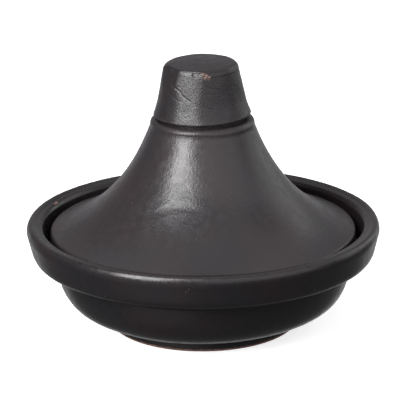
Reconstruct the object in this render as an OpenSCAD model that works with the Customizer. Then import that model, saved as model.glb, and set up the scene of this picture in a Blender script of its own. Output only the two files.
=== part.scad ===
// Tagine: a shallow glazed earthenware dish, and a flared conical lid with a hollow knob bonded to its neck.
// The origin is the middle of the dish's foot, on the table, and +Z is up. Millimetres.

/* [Dish] */
// Outside diameter over the rim
rim_d = 240; // [200:1:290]
// Height from the table to the top of the lip
dish_h = 72; // [60:1:88]
// Thickness of the rounded lip
lip_t = 11.5; // [9:0.1:14]
// How far down from the lip the crease under the rim band lies
band_h = 28; // [24:0.5:34]
// Angle at which the rim band springs out from the crease, in degrees
band_spring = 20; // [15:1:30]
// Wall of the bowl at the crease
bowl_wall = 8.8; // [7:0.1:11]
// Thickness of the floor over the foot's recess
floor_t = 9; // [7:0.1:11]
// Outside diameter of the foot ring
foot_d = 128; // [105:1:150]
// Height of the foot ring
foot_h = 6.6; // [5:0.1:8]
// Width of the foot ring's bare face, with its two rounded edges
foot_ring_w = 9; // [7:0.5:11]
// Depth of the hollow inside the foot ring
foot_recess = 3.5; // [2.5:0.1:4.5]

/* [Lid seat] */
// How far the seat ledge lies over the crease
ledge_t = 9.4; // [8:0.1:11.5]
// Radial gap between the lid's skirt and the dish wall, at the seat
lid_clearance = 3; // [2:0.1:4]
// How much the dish wall leans in from the lip down to the seat
wall_lean = 1.8; // [1:0.1:3]
// How far the seat ledge reaches in past the lid's foot
ledge_reach = 2.5; // [1.5:0.1:5]

/* [Lid] */
// Height of the lid's rim over the seat
skirt_h = 13.8; // [11:0.1:17]
// Height of the lid's shoulder over the seat
shoulder_rise = 90.8; // [75:0.2:112]
// How far the shoulder stands out past the knob's lower edge
shoulder_step = 2; // [0:0.1:4]
// Wall of the lid
lid_wall = 7.5; // [6:0.1:9.5]
// Slope of the flare where it leaves the lid's rim, in degrees
flare_low = 19; // [12:1:24]
// Slope of the flare under the shoulder, in degrees
flare_high = 70; // [64:1:76]

/* [Knob] */
// Diameter of the knob at its lower edge
knob_base_d = 65.6; // [54:0.2:79]
// How much narrower the knob is under its top corner
knob_taper = 14.8; // [8:0.2:18]
// Height of the knob up to the edge of its top face
knob_h = 35.6; // [29:0.2:43]
// Radius of the knob's top corner
knob_corner = 4.8; // [4:0.1:6]
// Rise of the knob's top face at its middle
knob_crown = 0.9; // [0.2:0.1:2]
// Wall of the hollow knob
knob_wall = 8.5; // [7:0.1:10]
// Height of the groove between the shoulder and the knob
groove_h = 2.5; // [2:0.1:3.5]
// Depth of the groove, in from the knob's lower edge
groove_depth = 3.4; // [2.5:0.1:4]
// Thickness of the fired slip that bonds the knob to the neck
slip_t = 0.8; // [0.5:0.1:1.2]
// How far the slip was squeezed out of the joint
slip_bead = 0.5; // [0.2:0.1:0.8]

/* [Hidden] */
$fn = 120;

glaze = "#2f2c2e";
fired_slip = "#6e4a3a";

arc_steps = 8;
small_steps = 4;
curve_steps = 22;
side_steps = 10;

// Dish, from the rim inwards to the lid's seat and the bowl
rim_r = rim_d / 2;
lip_r = lip_t / 2;
crease_z = dish_h - band_h;
seat_z = crease_z + ledge_t;
wall_foot_r = rim_r - lip_t - wall_lean;
wall_fillet = 3;
lid_r = wall_foot_r - lid_clearance;
lid_foot_edge = 1.5;
lid_foot_in_r = lid_r - lid_wall - lid_foot_edge;
bowl_in_r = lid_foot_in_r - ledge_reach;
ledge_edge = 1.5;
crease_r = bowl_in_r + bowl_wall;
foot_r = foot_d / 2;
foot_edge = 1.2;
foot_in_r = foot_r - foot_ring_w;
floor_z = foot_recess + floor_t;
floor_r = foot_r - foot_edge;
bowl_in_h = seat_z - ledge_edge - floor_z;

// Lid
lid_top_edge = 2;
edge_z = seat_z + skirt_h;
shoulder_z = seat_z + shoulder_rise;
shoulder_edge = 2.8;

// Knob and its joint
knob_r = knob_base_d / 2;
knob_top_r = knob_r - knob_taper / 2;
knob_foot_edge = 1.5;
knob_z = shoulder_z + groove_h;
knob_top_z = knob_z + knob_h;
shoulder_r = knob_r + shoulder_step;
neck_r = knob_r - groove_depth;
neck_in_r = knob_r - knob_wall;
neck_top_z = knob_z - slip_t;
hollow_top_r = knob_top_r - knob_wall;
hollow_corner = 6;

// Points of an arc round [x, z], from angle a to angle b
function arc(x, z, r, a, b, n = arc_steps) = ellipse(x, z, r, r, a, b, n);

// Points of part of an ellipse round [x, z], from angle a to angle b
function ellipse(x, z, rx, rz, a, b, n = curve_steps) =
    [for (i = [0 : n]) let (t = a + (b - a) * i / n) [x + rx * cos(t), z + rz * sin(t)]];

// A point of the cubic curve with end points p0, p3 and handles p1, p2, and the way it runs there
function bez(p0, p1, p2, p3, t) =
    p0 * pow(1 - t, 3) + 3 * p1 * t * pow(1 - t, 2) + 3 * p2 * t * t * (1 - t) + p3 * pow(t, 3);
function bez_way(p0, p1, p2, p3, t) =
    3 * (p1 - p0) * pow(1 - t, 2) + 6 * (p2 - p1) * t * (1 - t) + 3 * (p3 - p2) * t * t;

// Points of the cubic curve, moved by off to the right of its way
function curve(p0, p1, p2, p3, off = 0, n = curve_steps) =
    [for (i = [0 : n])
        let (t = i / n, w = bez_way(p0, p1, p2, p3, t))
        bez(p0, p1, p2, p3, t) + [w.y, -w.x] / norm(w) * off];

// A list without its first point, which its neighbour already holds
function tail(points) = [for (i = [1 : len(points) - 1]) points[i]];

// The stretch of a length that lies in the direction of an angle
function along(angle, length) = length * [cos(angle), sin(angle)];

// Outside of the bowl, from the foot ring up to the crease
bowl_spring = 16;
bowl_overhang = 8;
bowl_start = [foot_r, foot_h];
bowl_end = [crease_r, crease_z];
bowl_low = bowl_start + along(bowl_spring, (crease_r - foot_r) * 0.71);
bowl_high = bowl_end + along(-90 - bowl_overhang, (crease_z - foot_h) * 0.66);

// Outside of the rim band, from the crease up to the side of the lip
band_lean = 15;
band_end = [rim_r, dish_h - lip_r];
band_low = bowl_end + along(band_spring, rim_r - crease_r);
band_high = band_end + along(-90 - band_lean, (band_h - lip_r) * 0.9);

// Outside of the lid's flare, from the shoulder down to the lid's rim
flare_start = [shoulder_r, shoulder_z - shoulder_edge];
flare_end = [lid_r - lid_top_edge * (1 - sin(flare_low)), edge_z - lid_top_edge * (1 - cos(flare_low))];
flare_high_handle = flare_start + along(-flare_high, (shoulder_z - edge_z) * 0.44);
flare_low_handle = flare_end + along(180 - flare_low, (lid_r - shoulder_r) * 0.56);

// Side of the knob, from its lower edge up to its top corner
side_low_lean = 22;
side_high_lean = 13;
side_start = [knob_r, knob_z + knob_foot_edge];
side_end = [knob_top_r, knob_top_z - knob_corner];
side_reach = (side_end.y - side_start.y) / 3;
side_low = side_start + along(90 + side_low_lean, side_reach);
side_high = side_end + along(-90 + side_high_lean, side_reach);

module turned(outline) {
    rotate_extrude() polygon(outline);
}

module dish() {
    color(glaze) turned(concat(
        [[0, foot_recess], [foot_in_r - foot_edge, foot_recess]],
        arc(foot_in_r + foot_edge, foot_edge, foot_edge, 180, 270, small_steps),
        arc(foot_r - foot_edge, foot_edge, foot_edge, 270, 360, small_steps),
        curve(bowl_start, bowl_low, bowl_high, bowl_end),
        tail(curve(bowl_end, band_low, band_high, band_end)),
        tail(arc(rim_r - lip_r, dish_h - lip_r, lip_r, 0, 180, 2 * arc_steps)),
        arc(wall_foot_r - wall_fillet, seat_z + wall_fillet, wall_fillet, 0, -90),
        arc(bowl_in_r + ledge_edge, seat_z - ledge_edge, ledge_edge, 90, 180, small_steps),
        tail(ellipse(floor_r, floor_z + bowl_in_h, bowl_in_r - floor_r, bowl_in_h, 0, -90)),
        [[0, floor_z]]
    ));
}

module lid_cone() {
    color(glaze) turned(concat(
        [[lid_foot_in_r, seat_z]],
        arc(lid_r - lid_foot_edge, seat_z + lid_foot_edge, lid_foot_edge, 270, 360, small_steps),
        arc(lid_r - lid_top_edge, edge_z - lid_top_edge, lid_top_edge, 0, 90 - flare_low, small_steps),
        tail(curve(flare_end, flare_low_handle, flare_high_handle, flare_start)),
        tail(arc(shoulder_r - shoulder_edge, shoulder_z - shoulder_edge, shoulder_edge, 0, 90, arc_steps)),
        [[neck_r, shoulder_z], [neck_r, neck_top_z], [neck_in_r, neck_top_z]],
        [for (p = curve(flare_start, flare_high_handle, flare_low_handle, flare_end, lid_wall))
            if (p.x < lid_foot_in_r) p]
    ));
}

module knob_slip_joint() {
    bead_r = slip_t / 2;
    color(fired_slip) turned(concat(
        [[neck_in_r, neck_top_z]],
        arc(neck_r + slip_bead - bead_r, neck_top_z + bead_r, bead_r, -90, 90, small_steps),
        [[neck_in_r, knob_z]]
    ));
}

module lid_knob() {
    face_r = knob_top_r - knob_corner;
    color(glaze) turned(concat(
        [[neck_in_r, knob_z]],
        arc(knob_r - knob_foot_edge, knob_z + knob_foot_edge, knob_foot_edge, 270, 360, small_steps),
        tail(curve(side_start, side_low, side_high, side_end, 0, side_steps)),
        tail(arc(face_r, knob_top_z - knob_corner, knob_corner, 0, 90)),
        [for (i = [side_steps - 1 : -1 : 0]) let (s = i / side_steps)
            [face_r * s, knob_top_z + knob_crown * (1 - s * s)]],
        [[0, knob_top_z - knob_wall]],
        arc(hollow_top_r - hollow_corner, knob_top_z - knob_wall - hollow_corner, hollow_corner, 90, 0)
    ));
}

dish();
lid_cone();
knob_slip_joint();
lid_knob();
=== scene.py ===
import math

import bpy
import numpy as np
from mathutils import Matrix, Vector


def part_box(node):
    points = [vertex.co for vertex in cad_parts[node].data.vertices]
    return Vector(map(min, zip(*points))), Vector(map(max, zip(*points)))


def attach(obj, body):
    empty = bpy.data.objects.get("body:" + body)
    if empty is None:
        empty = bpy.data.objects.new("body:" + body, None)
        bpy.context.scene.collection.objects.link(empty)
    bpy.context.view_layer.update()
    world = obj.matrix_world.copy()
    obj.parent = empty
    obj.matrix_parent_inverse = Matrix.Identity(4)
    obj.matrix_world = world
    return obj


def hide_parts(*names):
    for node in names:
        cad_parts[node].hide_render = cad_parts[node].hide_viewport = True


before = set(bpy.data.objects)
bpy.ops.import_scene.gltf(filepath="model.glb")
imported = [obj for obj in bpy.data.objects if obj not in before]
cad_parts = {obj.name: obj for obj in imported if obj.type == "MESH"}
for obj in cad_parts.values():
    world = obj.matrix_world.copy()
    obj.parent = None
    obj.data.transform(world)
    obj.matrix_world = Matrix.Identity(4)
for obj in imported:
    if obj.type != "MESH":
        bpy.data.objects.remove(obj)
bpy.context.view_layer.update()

# %% [markdown]
# # A tagine: a turned dish, a flared lid and a knob
#
# A tagine is two loose pieces of pottery. The dish is thrown on a wheel and trimmed to a foot ring.
# The lid is thrown as a cone, and its knob is made by itself and stuck on with slip, which is wet clay.
# Everything round here was made by turning, so the model is turned too: an outline is drawn on one
# side of the axis and spun about it. The marks of a hand come after that, as they did on the clay.
# A sculpted or subdivided shape would lose the wheel's true rings, which carry the highlights.
#
# Sizes are written in millimetres, as a potter would say them, and `mm` brings them to metres.

# %% Sizes that the frame gives
mm = 0.001

dish_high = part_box("dish")[1]
cone_low, cone_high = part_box("lid_cone")
slip_low, slip_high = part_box("knob_slip_joint")
knob_low, knob_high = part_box("lid_knob")

rim_r = dish_high.x / mm
dish_h = dish_high.z / mm
seat_z = cone_low.z / mm
lid_r = cone_high.x / mm
neck_top_z = cone_high.z / mm
knob_z = knob_low.z / mm
knob_r = knob_high.x / mm
knob_peak_z = knob_high.z / mm
print("rim radius", round(rim_r, 2), "seat height", round(seat_z, 2), "knob from", round(knob_z, 2))

# %% [markdown]
# ## Drawing an outline
#
# A turned outline is made of three kinds of line: straight runs, parts of an ellipse, and smooth
# curves between two points that leave each in a chosen direction. Each function below gives its
# points about `gap` millimetres apart, so a piece that needs fine marks can have a fine mesh.


# %% Straight runs, arcs and curves
def steps(length, gap):
    return max(2, math.ceil(length / gap))


def line(a, b, gap):
    a, b = Vector(a), Vector(b)
    n = steps((b - a).length, gap)
    return [a.lerp(b, i / n) for i in range(n + 1)]


def arc(x, z, rx, start, stop, gap, rz=None):
    """Part of an ellipse round (x, z), from one angle to another, in degrees."""
    rz = rx if rz is None else rz
    n = steps(math.radians(abs(stop - start)) * (rx + rz) / 2, gap)
    turns = [math.radians(start + (stop - start) * i / n) for i in range(n + 1)]
    return [Vector((x + rx * math.cos(t), z + rz * math.sin(t))) for t in turns]


def toward(point, angle, length):
    """The point that lies at that length from another, in the direction of an angle in degrees."""
    turned = math.radians(angle)
    return Vector(point) + length * Vector((math.cos(turned), math.sin(turned)))


def curve(a, a_handle, b_handle, b, gap, side=0):
    """A cubic curve, moved by side to the right of its way."""
    a, b = Vector(a), Vector(b)
    n = steps((b - a).length, gap)
    points = []
    for i in range(n + 1):
        t, u = i / n, 1 - i / n
        way = 3 * u * u * (a_handle - a) + 6 * u * t * (b_handle - a_handle) + 3 * t * t * (b - b_handle)
        here = u**3 * a + 3 * u * u * t * a_handle + 3 * u * t * t * b_handle + t**3 * b
        points.append(here + side * Vector((way.y, -way.x)).normalized())
    return points


def outline(*runs):
    """Joins runs of points into one, and drops a point that lies on the one before."""
    joined = []
    for point in (p for run in runs for p in run):
        if not joined or (point - joined[-1]).length > 0.01:
            joined.append(point)
    return joined


def finger_rings(points, depth, pitch):
    """Ridges that the potter's fingers left: each point moves along the outline's normal."""
    moved, walked = [points[0]], 0
    for before, here, after in zip(points, points[1:], points[2:]):
        walked += (here - before).length
        way = (after - before).normalized()
        fade = min(1, walked / pitch)
        wave = math.sin(2 * math.pi * walked / pitch + 0.6 * math.sin(walked / (1.7 * pitch)))
        moved.append(here + depth * fade * wave * Vector((way.y, -way.x)))
    return moved + [points[-1]]


# %% [markdown]
# ## Turning
#
# By hand, a turned piece starts as a small plane that is merged to one point. The extrude tool draws
# the outline from it, point by point, and a Screw modifier carries the outline once around the axis,
# as the wheel does. The spin tool gives the same skin, but takes seconds where the modifier takes
# none. Seam and poles are merged, and the normals are then recalculated, because turning can leave
# a skin inside out.

# %% The wheel
wheel_stops = 384
same_place = 0.005 * mm


def select_nothing():
    if bpy.context.object and bpy.context.object.mode != "OBJECT":
        bpy.ops.object.mode_set(mode="OBJECT")
    bpy.ops.object.select_all(action="DESELECT")


def turn(name, points, stops=wheel_stops):
    select_nothing()
    bpy.ops.mesh.primitive_plane_add(size=mm, location=(points[0].x * mm, 0, points[0].y * mm))
    piece = bpy.context.object
    piece.name = piece.data.name = name
    bpy.ops.object.transform_apply(location=True, rotation=True, scale=True)
    bpy.ops.object.mode_set(mode="EDIT")
    bpy.ops.mesh.select_all(action="SELECT")
    bpy.ops.mesh.merge(type="CENTER")
    for here, there in zip(points, points[1:]):
        step = ((there.x - here.x) * mm, 0, (there.y - here.y) * mm)
        bpy.ops.mesh.extrude_vertices_move(TRANSFORM_OT_translate={"value": step})
    bpy.ops.object.mode_set(mode="OBJECT")
    bpy.ops.object.modifier_add(type="SCREW")
    wheel = piece.modifiers[-1]
    wheel.angle = 2 * math.pi
    wheel.steps = wheel.render_steps = stops
    wheel.use_merge_vertices = True
    wheel.merge_threshold = same_place
    bpy.ops.object.modifier_apply(modifier=wheel.name)
    bpy.ops.object.mode_set(mode="EDIT")
    bpy.ops.mesh.select_all(action="SELECT")
    bpy.ops.mesh.remove_doubles(threshold=same_place)
    bpy.ops.mesh.normals_make_consistent(inside=False)
    bpy.ops.object.mode_set(mode="OBJECT")
    bpy.ops.object.shade_smooth()
    print(name, "turned:", len(points), "outline points,", len(piece.data.polygons), "faces")
    return piece


# %% [markdown]
# ## The dish
#
# The dish is one piece of clay. Its underside is trimmed to a foot ring round a shallow recess. The
# bowl swells out to a crease, where a broad band springs out and up to a rolled lip. Inside, a ledge
# takes the lid's foot, and the bowl below it holds the food. The trimming tool leaves faint rings on
# the underside and the fingers leave wider ones in the bowl.
#
# The lip isn't a half circle. It was pressed a little flat, so it turns tightly at the top of its
# outer side, then slowly down the side, and it falls a little towards the inside. The tight turn
# draws a thin, bright line of light, and the slow one gives that line a soft lower edge. Two arcs
# make the outer side, and a gentle curve leads from them to the arc of the inner edge.

# %% Outline of the dish
foot_r, foot_in_r, foot_h, foot_recess = 64, 55, 6.6, 3.5
foot_edge = 1.2
crease_r, crease_z = 101, 44
lip_r = 5.75
lip_top_r, lip_side_r, lip_inner_edge, lip_fall = 3.2, 8, 4, 1
lip_turn = 25
inner_wall_foot_r = 106.7
bowl_in_r, floor_z = 92.2, 12.5
ledge_edge, wall_fillet = 1.5, 3
fine, coarse = 1.1, 2.4

bowl_foot, bowl_top = Vector((foot_r + 1.2, foot_h + 0.4)), Vector((crease_r, crease_z))
lip_side = Vector((rim_r, dish_h - lip_r))
lip_in_r = rim_r - 2 * lip_r
inner_h = seat_z - ledge_edge - floor_z
lip_low_z = dish_h - lip_top_r - (lip_side_r - lip_top_r) * math.sin(math.radians(lip_turn))
lip_top_at = rim_r - lip_side_r + (lip_side_r - lip_top_r) * math.cos(math.radians(lip_turn))
lip_inner_at, lip_inner_z = lip_in_r + lip_inner_edge, dish_h - lip_fall
lip_top = curve((lip_top_at, dish_h), Vector((lip_top_at - 1.5, dish_h)),
                Vector((lip_inner_at + 1, lip_inner_z)), (lip_inner_at, lip_inner_z), 0.6)
underside = finger_rings(line((0, foot_recess), (foot_in_r - foot_edge, foot_recess), 1.5), 0.1, 4.2)
bowl_handles = toward(bowl_foot, 16, 26.3), toward(bowl_top, -98, 24.7)
band_handles = toward(bowl_top, 20, 19), toward(lip_side, -105, 20)
bowl_outside = curve(bowl_foot, *bowl_handles, bowl_top, fine)
band_outside = curve(bowl_top, *band_handles, lip_side, fine)
bowl_inside = arc(foot_r, seat_z - ledge_edge, bowl_in_r - foot_r, 0, -90, coarse, rz=inner_h)
bowl_floor = line((foot_r, floor_z), (0, floor_z), coarse)
dish_outline = outline(
    underside,
    arc(foot_in_r + foot_edge, foot_edge, foot_edge, 180, 270, 0.5),
    line((foot_in_r + foot_edge, 0), (foot_r - foot_edge, 0), fine),
    arc(foot_r - foot_edge, foot_edge, foot_edge, 270, 360, 0.5),
    line((foot_r, foot_edge), (foot_r, foot_h - 1), 0.9),
    curve((foot_r, foot_h - 1), Vector((foot_r, foot_h)), toward(bowl_foot, 196, 0.8), bowl_foot, 0.4),
    finger_rings(bowl_outside, 0.012, 3.1),
    finger_rings(band_outside, 0.008, 3.7),
    arc(rim_r - lip_side_r, lip_low_z, lip_side_r, 0, lip_turn, 0.5),
    arc(lip_top_at, dish_h - lip_top_r, lip_top_r, lip_turn, 90, 0.35),
    lip_top,
    arc(lip_inner_at, lip_inner_z - lip_inner_edge, lip_inner_edge, 90, 180, 0.45),
    line((lip_in_r, lip_inner_z - lip_inner_edge), (inner_wall_foot_r, seat_z + wall_fillet), fine),
    arc(inner_wall_foot_r - wall_fillet, seat_z + wall_fillet, wall_fillet, 0, -90, 0.9),
    line((inner_wall_foot_r - wall_fillet, seat_z), (bowl_in_r + ledge_edge, seat_z), coarse),
    arc(bowl_in_r + ledge_edge, seat_z - ledge_edge, ledge_edge, 90, 180, 0.6),
    finger_rings(bowl_inside + bowl_floor[1:], 0.16, 8.5),
)
dish = turn("glazed_dish", dish_outline)

# %% [markdown]
# ## The lid's cone
#
# The skirt drops into the dish, the rim above it is rounded, and the flare sweeps up to the shoulder.
# A bead with a faint crease under it finishes the shoulder, where the potter pressed the knob down,
# and the face that the knob's joint stands on is sunk behind it. The inside was never smoothed, so
# the finger rings there are deep. The wall is even, so the inside is the same curve, moved inwards.

# %% Outline of the lid's cone
lid_wall, lid_foot_edge, lid_rim_edge = 7.5, 1.5, 2
lid_edge_z = seat_z + 13.8
shoulder_z = neck_top_z - 1.7
shoulder_r, neck_r, neck_in_r = 34.8, knob_r - 3.4, knob_r - 8.5
lid_foot_in_r = lid_r - lid_wall - lid_foot_edge
flare_low, flare_high = 19, 70
crease_drop, bead_r, joint_sunk = 4.3, 3.4, 1.4

rim_turn = math.radians(flare_low)
flare_foot = Vector((
    lid_r - lid_rim_edge * (1 - math.sin(rim_turn)),
    lid_edge_z - lid_rim_edge * (1 - math.cos(rim_turn)),
))
flare_top = Vector((shoulder_r, shoulder_z - bead_r))
flare_handles = (
    toward(flare_foot, 180 - flare_low, (lid_r - shoulder_r) * 0.56),
    toward(flare_top, -flare_high, (shoulder_z - lid_edge_z) * 0.44),
)
flare = curve(flare_foot, *flare_handles, flare_top, 0.9)
flare_outside = [p for p in flare if p.y < shoulder_z - crease_drop - 0.7]
lid_inside = curve(flare_top, *reversed(flare_handles), flare_foot, coarse, side=lid_wall)
lid_inside = [p for p in lid_inside if p.x < lid_foot_in_r - 0.5]
bead_centre = Vector((shoulder_r - bead_r + 0.35, shoulder_z - bead_r))
cone_outline = outline(
    line((lid_foot_in_r + lid_foot_edge, seat_z), (lid_r - lid_foot_edge, seat_z), coarse),
    arc(lid_r - lid_foot_edge, seat_z + lid_foot_edge, lid_foot_edge, 270, 360, 0.6),
    line((lid_r, seat_z + lid_foot_edge), (lid_r, lid_edge_z - lid_rim_edge), 1.4),
    arc(lid_r - lid_rim_edge, lid_edge_z - lid_rim_edge, lid_rim_edge, 0, 90 - flare_low, 0.4),
    finger_rings(flare_outside, 0.008, 4.6),
    [Vector((shoulder_r + 0.4, shoulder_z - crease_drop + 0.35))],
    arc(bead_centre.x, bead_centre.y, bead_r, -5, 125, 0.35),
    line((neck_r + 0.4, shoulder_z - joint_sunk), (neck_r, shoulder_z - joint_sunk + 0.3), 0.4),
    line((neck_r, shoulder_z - joint_sunk + 0.3), (neck_r, neck_top_z), 0.9),
    line((neck_r, neck_top_z), (neck_in_r, neck_top_z), coarse),
    finger_rings(lid_inside, 0.4, 7.5),
    line((lid_foot_in_r, lid_inside[-1].y - 1.5), (lid_foot_in_r, seat_z + lid_foot_edge), coarse),
    arc(lid_foot_in_r + lid_foot_edge, seat_z + lid_foot_edge, lid_foot_edge, 180, 270, 0.6),
)
lid_cone = turn("flared_lid", cone_outline)

# %% [markdown]
# ## The slip joint and the knob
#
# Slip squeezed out of the joint makes a soft ring in the groove. The knob is a hollow cup, closed at
# the top, that stands on it. It is drawn from the pole inside, down round its foot and up to the pole
# on top, with a far finer mesh outside, because a hand shaped it and left dents and folds.

# %% Outlines of the slip ring and the knob
slip_low_z, slip_high_z = slip_low.z / mm, slip_high.z / mm
slip_r = (slip_high_z - slip_low_z) / 2
slip_outline = outline(
    line((neck_in_r, slip_low_z), (slip_high.x / mm - slip_r, slip_low_z), 1),
    arc(slip_high.x / mm - slip_r, slip_low_z + slip_r, slip_r, -90, 90, 0.2),
    line((slip_high.x / mm - slip_r, slip_high_z), (neck_in_r, slip_high_z), 1),
    line((neck_in_r, slip_high_z), (neck_in_r, slip_low_z), 0.4),
)
slip_ring = turn("slip_ring", slip_outline, stops=192)

knob_crown, knob_corner, knob_foot_edge = 0.9, 4.8, 1.5
knob_top_r, knob_top_z = knob_r - 7.4, knob_peak_z - knob_crown
knob_wall, hollow_corner = 8.5, 6
hollow_r, hollow_z = knob_top_r - knob_wall, knob_top_z - knob_wall
knob_droop = 0.6
side_foot = Vector((knob_r, knob_z + knob_foot_edge - knob_droop))
side_top = Vector((knob_top_r, knob_top_z - knob_corner))
side_reach = (side_top.y - side_foot.y) / 3
side_handles = toward(side_foot, 112, side_reach), toward(side_top, -77, side_reach)
face_r = knob_top_r - knob_corner
skin = 0.5
knob_outline = outline(
    line((0, hollow_z), (hollow_r - hollow_corner, hollow_z), coarse),
    arc(hollow_r - hollow_corner, hollow_z - hollow_corner, hollow_corner, 90, 0, coarse),
    line((hollow_r, hollow_z - hollow_corner), (neck_in_r, knob_z), coarse),
    line((neck_in_r, knob_z), (slip_high.x / mm + 0.2, knob_z), 1),
    arc(knob_r - knob_foot_edge, knob_z + knob_foot_edge - knob_droop, knob_foot_edge, -90, 0, 0.3),
    curve(side_foot, *side_handles, side_top, skin),
    arc(face_r, knob_top_z - knob_corner, knob_corner, 0, 90, skin),
    curve((face_r, knob_top_z), Vector((face_r * 0.6, knob_top_z + knob_crown * 0.8)),
          Vector((face_r * 0.3, knob_peak_z)), (0, knob_peak_z), skin),
)
knob = turn("hollow_knob", knob_outline)

# %% [markdown]
# ## Marks of the hand
#
# Sculpting by hand is done here with three edit-mode moves. `dent` pushes chosen points along their
# normals and lets the push fade round them, which is proportional editing. `press_flat` scales what
# stands past a plane towards it, as a palm does. `sway` lends a whole piece the slow unevenness of
# thrown clay with a Displace modifier and a cloud pattern.


# %% Picking points
def places(piece):
    flat = np.empty(len(piece.data.vertices) * 3)
    piece.data.vertices.foreach_get("co", flat)
    return flat.reshape(-1, 3) / mm


def pick(piece, chosen):
    """Opens a piece in edit mode with only the chosen points selected."""
    select_nothing()
    mesh = piece.data
    mesh.polygons.foreach_set("select", np.zeros(len(mesh.polygons), bool))
    mesh.edges.foreach_set("select", np.zeros(len(mesh.edges), bool))
    mesh.vertices.foreach_set("select", np.ascontiguousarray(chosen, dtype=bool))
    bpy.context.view_layer.objects.active = piece
    piece.select_set(True)
    bpy.context.tool_settings.mesh_select_mode = (True, False, False)
    bpy.ops.object.mode_set(mode="EDIT")


# %% Finding places on a piece
def on_side(angle, radius, height):
    """A place on a turned piece: the angle runs from the front, which is -Y, towards +X."""
    turned = math.radians(angle)
    return np.array((radius * math.sin(turned), -radius * math.cos(turned), height))


def on_skin(piece, angle, height):
    """The point of a piece's outer skin that is nearest to an angle and a height."""
    co = places(piece)
    turned = np.degrees(np.arctan2(co[:, 0], -co[:, 1]))
    out = np.hypot(co[:, 0], co[:, 1])
    off_by = np.hypot(np.radians((turned - angle + 180) % 360 - 180) * out, co[:, 2] - height)
    outer = out > out[off_by < 1.2].max() - 5
    return co[np.argmin(np.where(outer, off_by, 1000))]


def near_path(co, path, reach):
    """Which points lie within reach of a path of places."""
    near = np.zeros(len(co), bool)
    for a, b in zip(path, path[1:]):
        way = b - a
        share = np.clip((co - a) @ way / (way @ way), 0, 1)
        near |= np.linalg.norm(co - (a + share[:, None] * way), axis=1) < reach
    return near


# %% Dent, flat and sway
def dent(piece, path, depth, core, fade, falloff="SMOOTH"):
    """Pushes the points within core of a path inwards by depth, with a fade round them."""
    path = [path[0], path[0] + (0, 0, 0.01)] if len(path) == 1 else path
    pick(piece, near_path(places(piece), path, core))
    bpy.ops.transform.shrink_fatten(value=-depth * mm, use_proportional_edit=True,
                                    proportional_edit_falloff=falloff, proportional_size=fade * mm)
    bpy.ops.object.mode_set(mode="OBJECT")


def press_flat(piece, angle, lean, radius, height, keep):
    """Scales what stands past a plane towards it. The plane faces angle, leaning up by lean, and
    passes through a place at that radius and height."""
    facing = Vector(on_side(angle, math.cos(math.radians(lean)), math.sin(math.radians(lean))))
    through = Vector(on_side(angle, radius, height))
    past = (places(piece) - np.array(through)) @ np.array(facing) > 0
    pick(piece, past)
    bpy.ops.transform.resize(value=(1, 1, keep), orient_type="GLOBAL", orient_matrix_type="GLOBAL",
                             orient_matrix=facing.to_track_quat("Z", "Y").to_matrix(),
                             center_override=through * mm)
    bpy.ops.object.mode_set(mode="OBJECT")
    print(piece.name, "pressed flat:", int(past.sum()), "points")


def sway(piece, size, strength, still):
    """Slow unevenness of a given size. `still` gives the share of it that each place keeps."""
    clouds = bpy.data.textures.new(piece.name + "_sway", "CLOUDS")
    clouds.noise_scale = size * mm
    clouds.noise_depth = 1
    held = piece.vertex_groups.new(name="sway")
    share = np.clip(still(places(piece)), 0, 1)
    for level in np.unique(np.round(share, 2)):
        chosen = np.nonzero(np.round(share, 2) == level)[0].tolist()
        held.add(chosen, float(level), "REPLACE")
    select_nothing()
    bpy.context.view_layer.objects.active = piece
    piece.select_set(True)
    bpy.ops.object.modifier_add(type="DISPLACE")
    push = piece.modifiers[-1]
    push.texture = clouds
    push.texture_coords = "LOCAL"
    push.strength = strength * mm
    push.mid_level = 0.5
    push.vertex_group = held.name
    bpy.ops.object.modifier_apply(modifier=push.name)


# %% [markdown]
# The dish and the lid sway least where they meet, so that the lid still sits. The foot stays flat.

# %% Sway of the dish, the lid and the knob
def dish_share(co):
    return np.minimum((co[:, 2] - 1) / 12, np.abs(co[:, 2] - seat_z) / 6)


def cone_share(co):
    return np.minimum((co[:, 2] - seat_z) / 8, (shoulder_z - co[:, 2] + 1) / 12)


def knob_share(co):
    return (co[:, 2] - knob_z) / 5


sway_depth = 0.7
sway(dish, 55, sway_depth, dish_share)
sway(lid_cone, 38, sway_depth, cone_share)
sway(knob, 17, sway_depth, knob_share)
for piece in (dish, lid_cone, knob):
    print(piece.name, "now reaches", [round(v, 2) for v in places(piece).max(axis=0)])

# %% [markdown]
# ## The knob's flats, folds and chip
#
# The knob was squeezed while leather-hard. One flat faces the front and makes a crisp edge with the
# top, and a second lies beside it. Folds in the clay run down across them, where the skin wrinkled.
# Later something knocked a chip out of the edge, and specks of red clay show beside it.
#
# Each flat is pressed first. The squeezed part is then smoothed, which softens its edges as wet
# fingers do. The folds come last, each as a narrow dent along a path on a finer mesh. Paths are
# given as an angle from the front and a height above the knob's foot.


# %% Finer mesh where a small mark goes
def refine(piece, path, reach, cuts):
    """Subdivides the faces round a path, so that a mark smaller than a face can be made."""
    pick(piece, near_path(places(piece), path, reach))
    bpy.ops.mesh.subdivide(number_cuts=cuts, smoothness=0)
    bpy.ops.object.mode_set(mode="OBJECT")


# %% Flats of the knob
flat_height = knob_z + 28.5
flat_side = dict(angle=-58, lean=22, radius=24.4, height=flat_height, keep=0.3)
flat_front = dict(angle=-18, lean=15, radius=24.1, height=flat_height, keep=0.5)
for flat in (flat_side, flat_front):
    press_flat(knob, **flat)

co = places(knob)
turned = np.degrees(np.arctan2(co[:, 0], -co[:, 1]))
squeezed = (turned > -85) & (turned < 10) & (co[:, 2] > knob_z + 1) & (co[:, 2] < knob_top_z - 3)
pick(knob, squeezed & (np.hypot(co[:, 0], co[:, 1]) > 20))
bpy.ops.mesh.vertices_smooth(factor=0.5, repeat=26)
bpy.ops.object.mode_set(mode="OBJECT")


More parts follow.
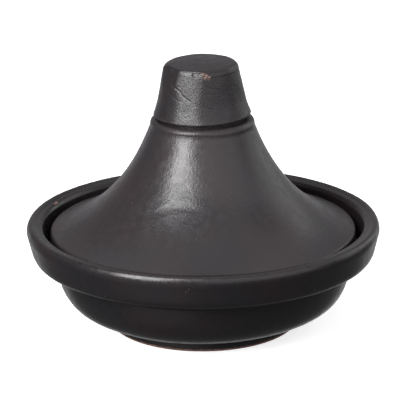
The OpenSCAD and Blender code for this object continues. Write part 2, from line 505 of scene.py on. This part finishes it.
# %% Folds of the knob
fold_long = [(-45, 24.4), (-39, 23.6), (-33, 21.8), (-27, 19.2), (-21, 17.2), (-15, 15.6), (-8, 14),
             (0, 12.4), (8, 11.2), (16, 10)]
fold_short = [(-52, 19.6), (-46, 18.8), (-40, 17), (-34, 15.8), (-28, 15.4)]
fold_thin = [(6, 25.5), (14, 23.6), (24, 22.8)]
folds = (
    (fold_long[:6], 0.2, 1),
    (fold_long[6:], 0.14, 1.1),
    (fold_short, 0.12, 1.1),
    (fold_thin, 0.07, 1.3),
)
for fold, depth, fade in folds:
    path = [on_skin(knob, angle, knob_z + height) for angle, height in fold]
    refine(knob, path, 1.4, 1)
    dent(knob, path, depth=depth, core=0.22, fade=fade, falloff="SHARP")
print("the knob now has", len(knob.data.vertices), "points")

# %% Chip of the knob
chip_path = [on_skin(knob, angle, knob_z + 32.8) for angle in (-10, -5, 0, 5)]
refine(knob, chip_path, 2.6, 1)
dent(knob, chip_path[:2], depth=0.45, core=0.8, fade=1.5)
dent(knob, chip_path[2:], depth=0.3, core=0.8, fade=1.6)
chip_specks = [on_skin(knob, angle, knob_z + height) for angle, height in (
    (2, 33), (7, 32.4), (11, 31.4), (5, 30.8))]
refine(knob, chip_specks, 2.2, 1)
print("with its chip it has", len(knob.data.vertices), "points")

# %% [markdown]
# A finger dragged a low arch across the flare, a wider touch went round under the bead, and the
# crease there was wiped full on one side. Pits are burst bubbles in the glaze: each is pushed in on
# a finer patch of mesh. The knob was set down a little crooked, so it is turned by about a degree on
# its foot. A nick in the lip, a drip of glaze and a scratch are accidents of the kiln and the shelf.

# %% Finger mark and pits of the lid
finger_mark = [on_skin(lid_cone, angle, height) for angle, height in (
    (-40, 90), (-34, 92), (-27.5, 95), (-18, 99), (-9, 98.4), (-3, 96.6), (3, 95))]
dent(lid_cone, finger_mark, depth=0.16, core=0.8, fade=4.4)
collar = [on_skin(lid_cone, angle, shoulder_z - 5.6) for angle in range(-70, 60, 10)]
dent(lid_cone, collar, depth=0.1, core=0.5, fade=2.6)
wiped_side = [on_skin(lid_cone, angle, shoulder_z - 4.1) for angle in range(8, 190, 6)]
dent(lid_cone, wiped_side, depth=-0.16, core=0.4, fade=1.6)
lid_pits = [on_skin(lid_cone, angle, height) for angle, height in (
    (-3.5, 82.9), (-27, 71.5), (21, 105), (38, 88), (-52, 96), (118, 92), (165, 110), (-150, 84))]
for pit in lid_pits:
    refine(lid_cone, [pit, pit + 0.01], 1.4, 2)
    dent(lid_cone, [pit], depth=0.2, core=0.35, fade=0.8)

# %% The knob's lean, and small accidents
knob_lean = 1.1
pick(knob, places(knob)[:, 2] > 0)
bpy.ops.transform.rotate(value=math.radians(knob_lean), orient_axis="Y",
                         center_override=(0, 0, knob_z * mm))
bpy.ops.object.mode_set(mode="OBJECT")
print("knob now reaches", [round(v, 2) for v in places(knob).max(axis=0)])

pit_places = [on_skin(dish, angle, height) for angle, height in ((-5, 63.8), (-4.1, 62.9), (-6, 62.2))]
refine(dish, [pit_places[0], pit_places[2]], 3, 3)
for pit in pit_places:
    dent(dish, [pit], depth=0.25, core=0.35, fade=0.7)
lip_nick = [on_side(angle, 111.2, dish_h - 1.3) for angle in (-111.8, -113.2)]
refine(dish, lip_nick, 2.6, 3)
dent(dish, lip_nick, depth=0.45, core=0.6, fade=1.3)
drip = [on_skin(dish, angle, height) for angle, height in ((28.5, 28.6), (29, 26), (29.5, 23.1))]
refine(dish, drip, 2.2, 3)
dent(dish, drip, depth=-0.22, core=0.35, fade=0.9)
scratch = [on_skin(dish, angle, height) for angle, height in ((9, 28.2), (9.5, 24.6))]
refine(dish, scratch, 1.6, 3)
dent(dish, scratch, depth=0.12, core=0.25, fade=0.7)

# %% [markdown]
# ## Where the glaze is thin or missing, and a painted reflection
#
# Glaze runs off an edge as it melts, so a lip or a rim ends up thinner and browner. The foot is wiped
# clean before firing, or it would fuse to the kiln's shelf. Both are marked on the points of the mesh
# as attributes, which the materials read, so the marks stay with the surface from every side. The
# thin-glaze mark also paints a lighter line along the crease under the dish's band: a painted
# reflection, which stands in for the floor seen in the band's lower edge.


# %% Marks for thin glaze, bare clay and a painted reflection
def mark(piece, name, values):
    share = piece.data.attributes.new(name, "FLOAT", "POINT")
    share.data.foreach_set("value", np.clip(values, 0, 1).astype(np.float32))


def near_ring(co, radius, height, reach):
    """How near each point is to a ring round the axis, from 1 on it to 0 at reach."""
    away = np.hypot(np.hypot(co[:, 0], co[:, 1]) - radius, co[:, 2] - height)
    return np.clip(1 - away / reach, 0, 1)


def near_spot(co, path, reach):
    shares = [1 - np.linalg.norm(co - spot, axis=1) / reach for spot in path]
    return np.clip(np.max(shares, axis=0), 0, 1)


co = places(dish)
out = np.hypot(co[:, 0], co[:, 1])
wiped = np.clip((2.2 - co[:, 2]) / 1.2, 0, 1)
recess = (out < foot_in_r + 0.5) & (co[:, 2] < foot_recess + 0.3)
nick_share = near_spot(co, lip_nick, 2.2)
specks = 0.8 * near_spot(co, pit_places, 0.8)
print("points of bare clay in the lip's nick:", int((nick_share > 0.5).sum()))
mark(dish, "bare_clay", np.maximum.reduce([wiped, recess, specks, nick_share]))
# Painted reflection: a lighter ring along the crease under the band, put on the thin-glaze mark, stands
# in for the floor seen in the band's lower edge.
crease_painted_reflection = 0.6 * near_ring(co, crease_r + 1.5, crease_z + 0.6, 3.5)
mark(dish, "thin_glaze_and_painted_reflection", np.maximum.reduce([
    crease_painted_reflection,
    near_spot(co, drip, 1),
    near_ring(co, rim_r - 2, dish_h - 0.6, 3),
    near_ring(co, foot_r, 1.2, 3),
    near_ring(co, bowl_in_r + 0.4, seat_z, 2.5),
    near_spot(co, pit_places, 1.2)]))

co = places(lid_cone)
rubbed = (co[:, 2] < seat_z + 0.4).astype(float)
mark(lid_cone, "bare_clay", np.maximum(rubbed, 0.8 * near_spot(co, lid_pits, 0.8)))
mark(lid_cone, "thin_glaze_and_painted_reflection", np.maximum.reduce([
    near_ring(co, lid_r - 0.6, lid_edge_z - 0.6, 3.5),
    near_ring(co, shoulder_r - 0.6, shoulder_z - 0.8, 2.5),
    near_ring(co, lid_r, seat_z + 0.6, 3),
    near_spot(co, lid_pits, 1)]))

co = places(knob)
mark(knob, "bare_clay", 0.58 * near_spot(co, chip_specks, 2.5) ** 0.5)
edge = [on_skin(knob, angle, knob_z + 33.8) for angle in range(-60, 8, 4)]
foot_line = near_ring(co, knob_r, knob_z + 0.8, 2)
mark(knob, "thin_glaze_and_painted_reflection", np.maximum(foot_line, 0.8 * near_spot(co, edge, 2)))

# %% [markdown]
# ## Glaze, clay and slip
#
# The glaze is a thin glassy coat with a satin skin. Three things make it look fired and not painted:
# its brown and its grey drift slowly into each other, its roughness varies, and its skin has a fine
# pebbled texture, drawn out upwards by the potter's rib. A noise on object coordinates gives each of
# them, at its own size. The texture goes through a Bump node, because it is far finer than the mesh.
#
# A black glaze has hardly any colour of its own, so its base colour is almost black, and nearly all
# that is seen is light from its skin. The dish is the darkest and glossiest, and the knob, which was
# smoothed by hand, the roughest. Where the glaze is thin, the clay warms it. Along the dish's crease
# the same mark paints a lighter line, a painted reflection.


# %% A new material, and noise
def new_material(name):
    """A material, its node tree, its shader and the object coordinates."""
    finish = bpy.data.materials.new(name)
    finish.use_nodes = True
    tree = finish.node_tree
    shader = tree.nodes["Principled BSDF"]
    coords = tree.nodes.new("ShaderNodeTexCoord").outputs["Object"]
    return finish, tree, shader, coords


def noise(tree, coords, size, detail=2, stretch=(1, 1, 1), spread=0.5):
    """A noise whose lumps are about size millimetres, longer along an axis where stretch is smaller."""
    place = tree.nodes.new("ShaderNodeMapping")
    place.inputs["Scale"].default_value = stretch
    tree.links.new(coords, place.inputs["Vector"])
    lumps = tree.nodes.new("ShaderNodeTexNoise")
    lumps.inputs["Scale"].default_value = 1 / (size * mm)
    lumps.inputs["Detail"].default_value = detail
    lumps.inputs["Roughness"].default_value = spread
    tree.links.new(place.outputs["Vector"], lumps.inputs["Vector"])
    return lumps.outputs["Fac"]


# %% Ranges, sums and mixes
def remap(tree, value, low, high, to_low=0, to_high=1, smooth=True):
    node = tree.nodes.new("ShaderNodeMapRange")
    node.interpolation_type = "SMOOTHSTEP" if smooth else "LINEAR"
    for socket, number in zip(node.inputs[1:5], (low, high, to_low, to_high)):
        socket.default_value = number
    tree.links.new(value, node.inputs["Value"])
    return node.outputs["Result"]


def calculate(tree, operation, a, b):
    node = tree.nodes.new("ShaderNodeMath")
    node.operation = operation
    for socket, term in zip(node.inputs, (a, b)):
        if isinstance(term, (int, float)):
            socket.default_value = term
        else:
            tree.links.new(term, socket)
    return node.outputs["Value"]


def mix_colour(tree, share, a, b):
    node = tree.nodes.new("ShaderNodeMix")
    node.data_type = "RGBA"
    tree.links.new(share, node.inputs["Factor"])
    for socket, colour in zip((node.inputs["A"], node.inputs["B"]), (a, b)):
        if isinstance(colour, tuple):
            socket.default_value = (*colour, 1)
        else:
            tree.links.new(colour, socket)
    return node.outputs["Result"]


def mix_value(tree, share, a, b):
    node = tree.nodes.new("ShaderNodeMix")
    tree.links.new(share, node.inputs["Factor"])
    for socket, term in zip((node.inputs["A"], node.inputs["B"]), (a, b)):
        if isinstance(term, (int, float)):
            socket.default_value = term
        else:
            tree.links.new(term, socket)
    return node.outputs["Result"]


# %% Bumps and marks
def bump(tree, height, depth, below=None):
    """A bump as deep as depth millimetres, on top of another bump."""
    node = tree.nodes.new("ShaderNodeBump")
    node.inputs["Distance"].default_value = depth * mm
    tree.links.new(height, node.inputs["Height"])
    if below is not None:
        tree.links.new(below, node.inputs["Normal"])
    return node.outputs["Normal"]


def marked(tree, name):
    node = tree.nodes.new("ShaderNodeAttribute")
    node.attribute_name = name
    return node.outputs["Fac"]


# %% Pinholes in the glaze
pinhole_gap = 9


def pinholes(tree, coords):
    """Small round spots where a bubble burst, in a few of the cells of a Voronoi pattern."""
    speckle = tree.nodes.new("ShaderNodeTexVoronoi")
    speckle.inputs["Scale"].default_value = 1 / (pinhole_gap * mm)
    tree.links.new(coords, speckle.inputs["Vector"])
    spot = remap(tree, speckle.outputs["Distance"], 0.05, 0.025)
    chosen = tree.nodes.new("ShaderNodeSeparateColor")
    tree.links.new(speckle.outputs["Color"], chosen.inputs["Color"])
    return calculate(tree, "MULTIPLY", spot, remap(tree, chosen.outputs["Red"], 0.8, 0.86))


# %% Satin glaze over red clay
# The brown of thin glaze also paints the lighter line of reflection along the dish's crease.
thin_and_painted_reflection_brown, pinhole_buff = (0.03, 0.022, 0.0195), (0.13, 0.105, 0.095)
clay_dark, clay_pale = (0.09, 0.048, 0.036), (0.26, 0.15, 0.12)
glass_ior = 1.45


def glaze(name, brown, grey, gloss, pebble, rib):
    """Satin glaze. `pebble` and `rib` are the depths of its two textures, in millimetres."""
    finish, tree, shader, coords = new_material(name)
    drift = remap(tree, noise(tree, coords, 46, 3), 0.36, 0.64)
    coat = mix_colour(tree, drift, brown, grey)
    patchy = remap(tree, noise(tree, coords, 4), 0.3, 0.6)
    # The thin-glaze mark here also carries a painted reflection: the lighter line along the dish's
    # crease.
    thin_and_painted_share = calculate(tree, "MULTIPLY", marked(tree, "thin_glaze_and_painted_reflection"), patchy)
    coat = mix_colour(tree, calculate(tree, "MULTIPLY", thin_and_painted_share, 0.3), coat, thin_and_painted_reflection_brown)
    pinhole = pinholes(tree, coords)
    coat = mix_colour(tree, calculate(tree, "MULTIPLY", pinhole, 0.6), coat, pinhole_buff)

    clay_grain = noise(tree, coords, 0.9, 3)
    clay = mix_colour(tree, remap(tree, clay_grain, 0.35, 0.68), clay_dark, clay_pale)
    ragged = calculate(tree, "ADD", marked(tree, "bare_clay"), calculate(
        tree, "MULTIPLY", calculate(tree, "SUBTRACT", noise(tree, coords, 0.8, 2), 0.5), 0.9))
    bare = remap(tree, ragged, 0.42, 0.56)
    tree.links.new(mix_colour(tree, bare, coat, clay), shader.inputs["Base Color"])

    sheen = remap(tree, noise(tree, coords, 5, 3), 0.3, 0.7, gloss - 0.05, gloss + 0.06)
    sheen = calculate(tree, "ADD", sheen, calculate(tree, "MULTIPLY", thin_and_painted_share, 0.08))
    tree.links.new(mix_value(tree, bare, sheen, 0.85), shader.inputs["Roughness"])

    ribbed = noise(tree, coords, 1.7, 3, stretch=(1, 1, 0.35))
    pebbled = noise(tree, coords, 1.3, 2)
    skin = bump(tree, ribbed, rib)
    skin = bump(tree, pebbled, pebble, skin)
    skin = bump(tree, calculate(tree, "MULTIPLY", pinhole, -1), 0.12, skin)
    skin = bump(tree, calculate(tree, "MULTIPLY", bare, clay_grain), 0.25, skin)
    tree.links.new(skin, shader.inputs["Normal"])
    shader.inputs["IOR"].default_value = glass_ior
    return finish


# %% [markdown]
# Fired slip is clay without glaze. It is matt and lumpy, and far darker than the bare clay.


# %% Fired slip
slip_dark, slip_pale = (0.02, 0.013, 0.011), (0.075, 0.042, 0.03)


def fired_slip():
    finish, tree, shader, coords = new_material("fired_slip")
    lumps = noise(tree, coords, 1.6, 4)
    colour = mix_colour(tree, remap(tree, lumps, 0.35, 0.65), slip_dark, slip_pale)
    tree.links.new(colour, shader.inputs["Base Color"])
    tree.links.new(remap(tree, lumps, 0.3, 0.7, 0.62, 0.85), shader.inputs["Roughness"])
    tree.links.new(bump(tree, noise(tree, coords, 0.7, 3), 0.3), shader.inputs["Normal"])
    return finish


# %% [markdown]
# ## Dressing the pieces
#
# Each piece gets its finish and the name of its slot. It then rides on the body that it belongs to,
# and takes the place of the plain piece of the frame. The cone, the slip and the knob are fired into
# one, so all three ride on the lid.


# %% Finishes, bodies and nodes
def dress(piece, finish, body, node):
    piece.data.materials.clear()
    piece.data.materials.append(finish)
    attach(piece, body)
    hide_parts(node)


dark_brown, dark_grey = (0.012, 0.0085, 0.009), (0.0095, 0.0085, 0.0095)
knob_brown, knob_grey = (0.0155, 0.0115, 0.0125), (0.013, 0.0113, 0.013)
brown, grey = (0.0215, 0.0165, 0.0175), (0.0185, 0.0163, 0.018)
dish_glaze = glaze("dish_glaze", dark_brown, dark_grey, gloss=0.28, pebble=0.012, rib=0.008)
dress(dish, dish_glaze, "dish", "dish")
lid_glaze = glaze("lid_glaze", brown, grey, gloss=0.33, pebble=0.045, rib=0.14)
dress(lid_cone, lid_glaze, "lid", "lid_cone")
knob_glaze = glaze("knob_glaze", knob_brown, knob_grey, gloss=0.38, pebble=0.2, rib=0.1)
dress(knob, knob_glaze, "lid", "lid_knob")
dress(slip_ring, fired_slip(), "lid", "knob_slip_joint")
print("dressed:", [piece.name for piece in (dish, lid_cone, slip_ring, knob)])

# %% [markdown]
# ## The studio
#
# A pale sweep of paper runs under the pot and up behind it. It shines a little, so that it comes out
# white, and the glaze doesn't see it, or a black dish on white paper would turn grey. A plane is
# enough for it: its back edge is extruded three times, for the bend and the wall.


# %% Paper sweep
paper_shine = 0.7


def plain_paper():
    finish, tree, shader, coords = new_material("paper")
    tint = mix_colour(tree, noise(tree, coords, 30, 2), (0.82, 0.82, 0.82), (0.84, 0.84, 0.84))
    tree.links.new(tint, shader.inputs["Base Color"])
    shader.inputs["Roughness"].default_value = 0.9
    shader.inputs["Emission Color"].default_value = (1, 1, 1, 1)
    shader.inputs["Emission Strength"].default_value = paper_shine
    return finish


select_nothing()
bpy.ops.mesh.primitive_plane_add(size=5)
sweep = bpy.context.object
sweep.name = "paper_sweep"
bpy.ops.object.mode_set(mode="EDIT")
bpy.ops.mesh.select_all(action="DESELECT")
bpy.ops.object.mode_set(mode="OBJECT")
for edge_line in sweep.data.edges:
    edge_line.select = all(sweep.data.vertices[v].co.y > 0 for v in edge_line.vertices)
bpy.context.tool_settings.mesh_select_mode = (False, True, False)
bpy.ops.object.mode_set(mode="EDIT")
bpy.ops.mesh.extrude_region_move(TRANSFORM_OT_translate={"value": (0, 0.6, 0.25)})
bpy.ops.mesh.extrude_region_move(TRANSFORM_OT_translate={"value": (0, 0.25, 0.6)})
bpy.ops.mesh.extrude_region_move(TRANSFORM_OT_translate={"value": (0, 0, 2)})
bpy.ops.object.mode_set(mode="OBJECT")
sweep.data.materials.append(plain_paper())
sweep.visible_glossy = False
sweep.visible_diffuse = False
print("paper sweep:", len(sweep.data.polygons), "faces")


# %% [markdown]
# What the glaze does see is set by itself. A soft box to the left of the camera draws the long
# highlight down the cone. Three weaker ones, above, to the right and behind, lift the far sides. Each
# is placed by its direction and distance from the pot, which is how a lamp is moved round one.


# %% Soft boxes
def soft_box(name, azimuth, elevation, distance, width, height, power, aim=(0, 0, 0.09)):
    """A rectangle of light. The azimuth runs from the camera's side, which is -Y, towards +X."""
    a, e = math.radians(azimuth), math.radians(elevation)
    away = Vector((math.sin(a) * math.cos(e), -math.cos(a) * math.cos(e), math.sin(e)))
    select_nothing()
    bpy.ops.object.light_add(type="AREA", location=Vector(aim) + away * distance)
    lamp = bpy.context.object
    lamp.name = name
    lamp.rotation_euler = away.to_track_quat("Z", "Y").to_euler()
    lamp.data.shape = "RECTANGLE"
    lamp.data.size, lamp.data.size_y = width, height
    lamp.data.energy = power
    print(name, "gives", power, "W")


soft_box("soft_box_left", -40, 33, 1.4, 0.72, 1.05, 39)
soft_box("soft_box_above", 165, 70, 1.7, 2.2, 2, 7)
soft_box("soft_box_right", 38, 30, 2, 3.2, 1.8, 17)
soft_box("soft_box_behind", 118, 20, 2, 1.8, 1.4, 9)


# %% [markdown]
# The room lights the rest. It is brighter in front than at the sides, bright low down behind, where
# it edges the outline, and bright where the floor throws back light from the left. Each of these is
# a smooth step in the direction looked at, so that no edge of the room shows in the glaze.

# %% Light of the room
to_front, to_side, to_back = 0.4, 0.13, 0.38
floor_near, floor_behind, floor_bounce = 0.16, 0.6, 0.3
bounce_way = (-0.56, -0.77, -0.31)

studio = bpy.data.worlds.new("studio")
studio.use_nodes = True
room = studio.node_tree
direction = room.nodes.new("ShaderNodeSeparateXYZ")
looked_at = room.nodes.new("ShaderNodeTexCoord").outputs["Generated"]
room.links.new(looked_at, direction.inputs["Vector"])
front_light = remap(room, direction.outputs["Y"], 0.2, -0.4, to_side, to_front)
wall_light = mix_value(room, remap(room, direction.outputs["Y"], 0.75, 0.95), front_light, to_back)
floor_share = remap(room, direction.outputs["Y"], 0.63, 0.82)
floor_light = mix_value(room, floor_share, floor_near, floor_behind)
bounce = room.nodes.new("ShaderNodeVectorMath")
bounce.operation = "DOT_PRODUCT"
bounce.inputs[1].default_value = bounce_way
room.links.new(looked_at, bounce.inputs[0])
bounced = remap(room, bounce.outputs["Value"], 0.72, 0.97, 0, floor_bounce)
floor_light = calculate(room, "ADD", floor_light, bounced)
room_light = mix_value(room, remap(room, direction.outputs["Z"], 0.1, -0.1), wall_light, floor_light)
room.links.new(room_light, room.nodes["Background"].inputs["Strength"])
room.nodes["Background"].inputs["Color"].default_value = (0.97, 0.97, 1, 1)
bpy.context.scene.world = studio
bpy.context.scene.view_settings.view_transform = "Standard"
print("room light:", to_front, "in front,", to_side, "at the sides,", to_back, "behind")

# %% [markdown]
# ## The camera
#
# A long lens from well back keeps the dish's ellipse calm and its lip thin. The camera stands a
# little above level, so that the gap between the lid and the lip shows, and it is tilted by a hair,
# as a camera held on a stand often is.

# %% Camera
camera_lens, camera_distance, camera_height = 217, 1.662, 0.0834
camera_pitch, camera_roll = 17.95, 0.5
pitch = math.radians(camera_pitch)
back = Vector((0, -math.cos(pitch), math.sin(pitch)))
select_nothing()
bpy.ops.object.camera_add(location=Vector((0, 0, camera_height)) + back * camera_distance)
camera = bpy.context.object
looking = back.to_track_quat("Z", "Y").to_matrix()
camera.rotation_euler = (looking @ Matrix.Rotation(math.radians(-camera_roll), 3, "Z")).to_euler()
camera.data.lens = camera_lens
camera.data.sensor_width = 36
bpy.context.scene.camera = camera
print("camera at", [round(v, 3) for v in camera.location])
